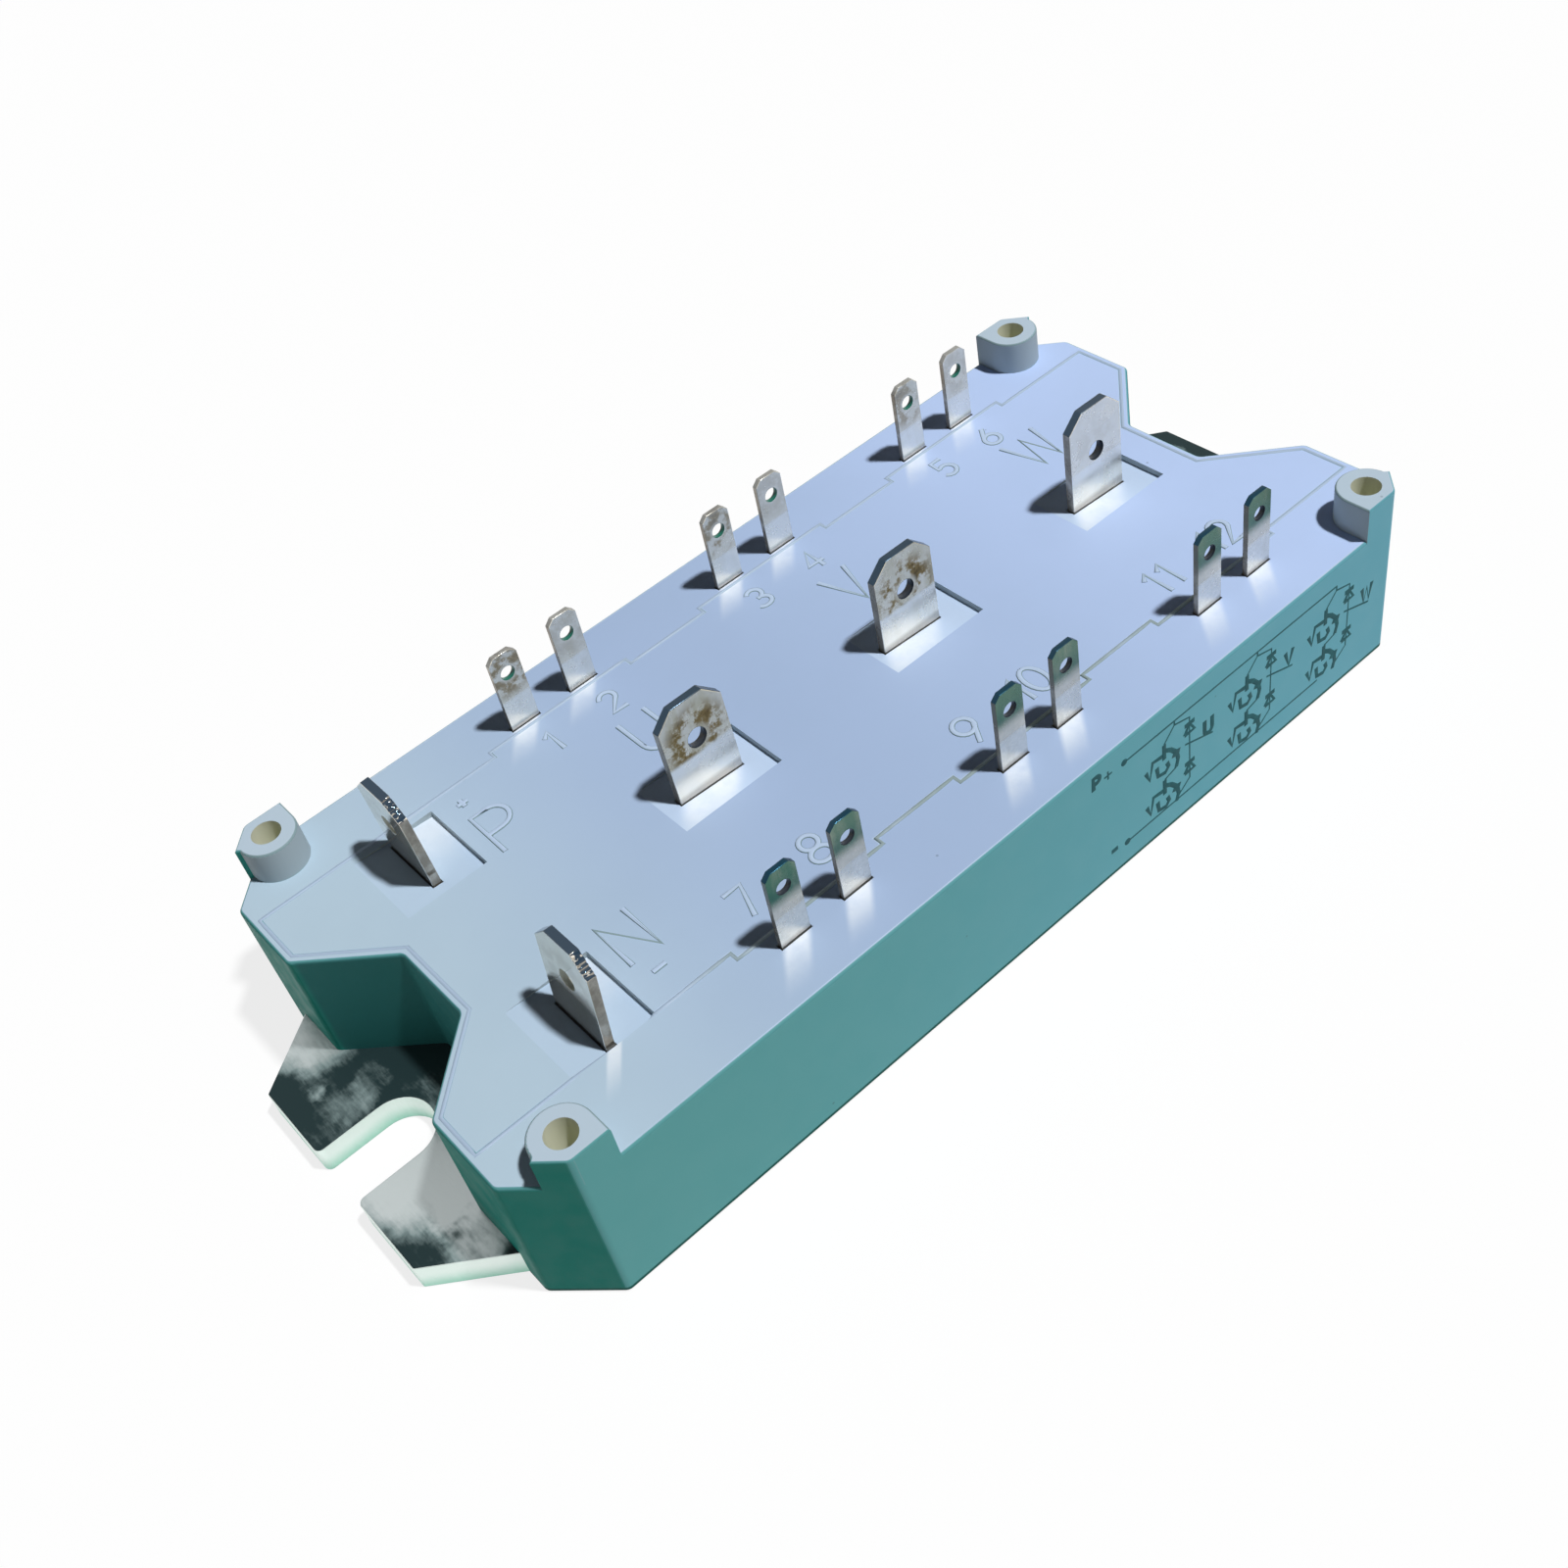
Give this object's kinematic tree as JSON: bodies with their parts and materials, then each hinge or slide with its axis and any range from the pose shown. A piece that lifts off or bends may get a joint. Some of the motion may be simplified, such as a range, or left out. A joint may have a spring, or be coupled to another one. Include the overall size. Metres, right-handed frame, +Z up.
{
  "type": "igbt module",
  "caption": "Flat three-phase transistor bridge module: plastic frame and lid on a slotted metal base plate, with upright blade terminals on top.",
  "frame": {"origin": "middle of the underside of the base plate", "axes": "+X along the length, away from the P and N terminals; +Y towards terminals 1 to 6; +Z up through the lid"},
  "size_m": [0.1076, 0.045, 0.0238],
  "materials": {
    "nickel_plate": "nickel plated copper, dull, mottled",
    "housing_plastic": "fine moulded texture",
    "terminal_tin": "tinned brass with brown tarnish",
    "gel": "clear soft silicone",
    "solder": "dull solder",
    "copper": "bonded copper",
    "ceramic": "alumina ceramic",
    "chip_metal": "metallised silicon",
    "wire_aluminium": "drawn wire"
  },
  "bodies": {
    "root": {"base_plate": "nickel_plate", "housing_frame": "housing_plastic", "lid": "housing_plastic", "silicone_gel": "gel", "power_terminal_p": "terminal_tin", "power_terminal_n": "terminal_tin", "power_terminal_u": "terminal_tin", "power_terminal_v": "terminal_tin", "power_terminal_w": "terminal_tin", "control_terminal_1": "terminal_tin", "control_terminal_2": "terminal_tin", "control_terminal_3": "terminal_tin", "control_terminal_4": "terminal_tin", "control_terminal_5": "terminal_tin", "control_terminal_6": "terminal_tin", "control_terminal_7": "terminal_tin", "control_terminal_8": "terminal_tin", "control_terminal_9": "terminal_tin", "control_terminal_10": "terminal_tin", "control_terminal_11": "terminal_tin", "control_terminal_12": "terminal_tin", "substrate_solder_u": "solder", "substrate_back_copper_u": "copper", "substrate_ceramic_u": "ceramic", "substrate_circuit_copper_u": "copper", "igbt_chip_upper_u": "chip_metal", "igbt_chip_lower_u": "chip_metal", "diode_chip_upper_u": "chip_metal", "diode_chip_lower_u": "chip_metal", "bond_wires_u": "wire_aluminium", "substrate_solder_v": "solder", "substrate_back_copper_v": "copper", "substrate_ceramic_v": "ceramic", "substrate_circuit_copper_v": "copper", "igbt_chip_upper_v": "chip_metal", "igbt_chip_lower_v": "chip_metal", "diode_chip_upper_v": "chip_metal", "diode_chip_lower_v": "chip_metal", "bond_wires_v": "wire_aluminium", "substrate_solder_w": "solder", "substrate_back_copper_w": "copper", "substrate_ceramic_w": "ceramic", "substrate_circuit_copper_w": "copper", "igbt_chip_upper_w": "chip_metal", "igbt_chip_lower_w": "chip_metal", "diode_chip_upper_w": "chip_metal", "diode_chip_lower_w": "chip_metal", "bond_wires_w": "wire_aluminium", "bus_link_wires": "wire_aluminium"}
  },
  "joints": []
}
